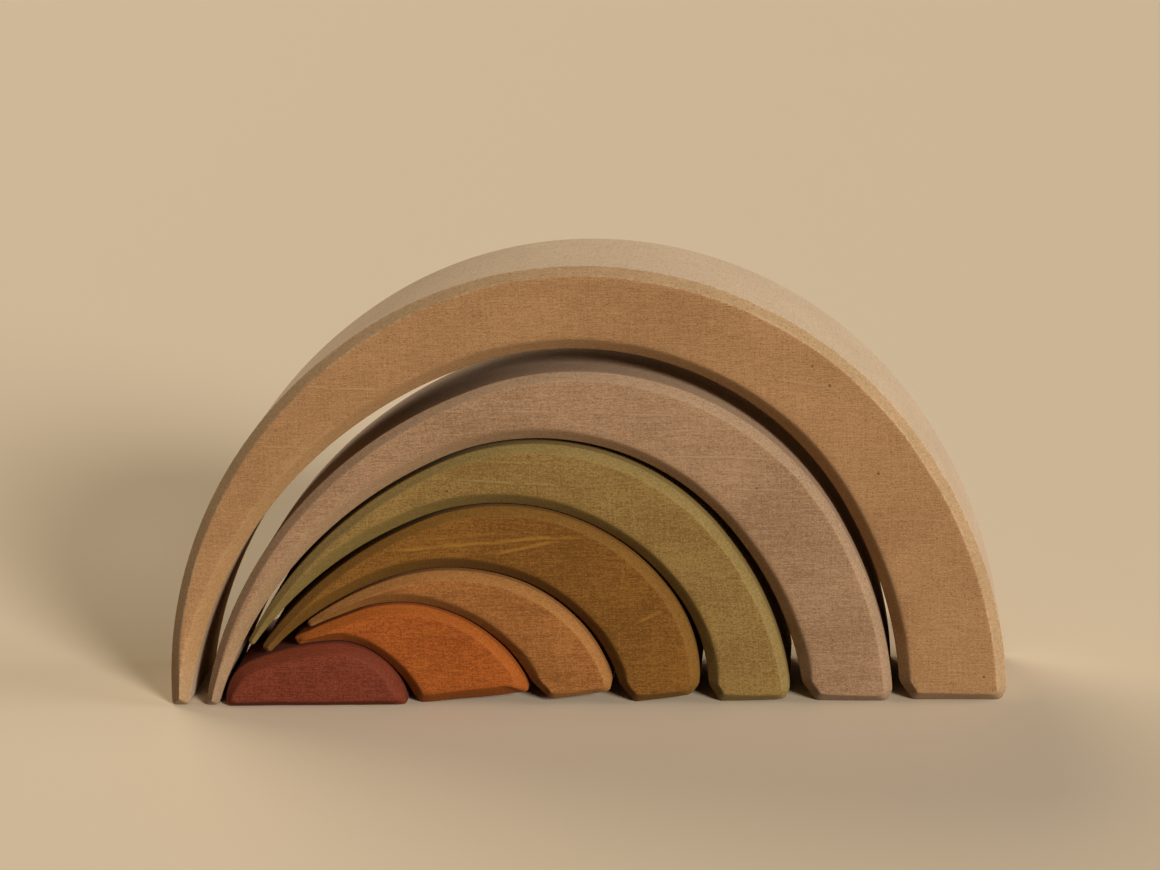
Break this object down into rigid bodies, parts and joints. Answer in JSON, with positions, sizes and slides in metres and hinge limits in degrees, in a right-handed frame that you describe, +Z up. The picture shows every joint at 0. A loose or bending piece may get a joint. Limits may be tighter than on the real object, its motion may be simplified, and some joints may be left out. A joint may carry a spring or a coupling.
{
  "type": "rainbow stacker",
  "caption": "Wooden rainbow stacker: loose nested crescent arches with blunt feet and thin tips over a half-moon core, stained in muted earth colours.",
  "frame": {"origin": "middle of the outer arch's footprint, on the floor", "axes": "+Z up, +X from the thin tips towards the blunt feet, the faces shown in the picture towards -Y"},
  "size_m": [0.2605, 0.045, 0.1385],
  "materials": {
    "natural_wood": "matte",
    "mauve_stain": "matte",
    "green_stain": "matte",
    "ochre_stain": "matte",
    "tan_stain": "matte",
    "orange_stain": "matte",
    "red_stain": "matte"
  },
  "bodies": {
    "outer_arch": {"outer_arch": "natural_wood"},
    "mauve_arch": {"mauve_arch": "mauve_stain"},
    "green_arch": {"green_arch": "green_stain"},
    "ochre_arch": {"ochre_arch": "ochre_stain"},
    "tan_arch": {"tan_arch": "tan_stain"},
    "orange_arch": {"orange_arch": "orange_stain"},
    "red_core": {"red_core": "red_stain"}
  },
  "joints": [
    {"name": "outer_lift", "type": "slide", "parent": "mauve_arch", "child": "outer_arch", "axis": [0, 0, 1], "range_m": [0, 0.112]},
    {"name": "mauve_lift", "type": "slide", "parent": "green_arch", "child": "mauve_arch", "axis": [0, 0, 1], "range_m": [0, 0.09]},
    {"name": "green_lift", "type": "slide", "parent": "ochre_arch", "child": "green_arch", "axis": [0, 0, 1], "range_m": [0, 0.07]},
    {"name": "ochre_lift", "type": "slide", "parent": "tan_arch", "child": "ochre_arch", "axis": [0, 0, 1], "range_m": [0, 0.05]},
    {"name": "tan_lift", "type": "slide", "parent": "orange_arch", "child": "tan_arch", "axis": [0, 0, 1], "range_m": [0, 0.04]},
    {"name": "orange_lift", "type": "slide", "parent": "red_core", "child": "orange_arch", "axis": [0, 0, 1], "range_m": [0, 0.026]}
  ]
}
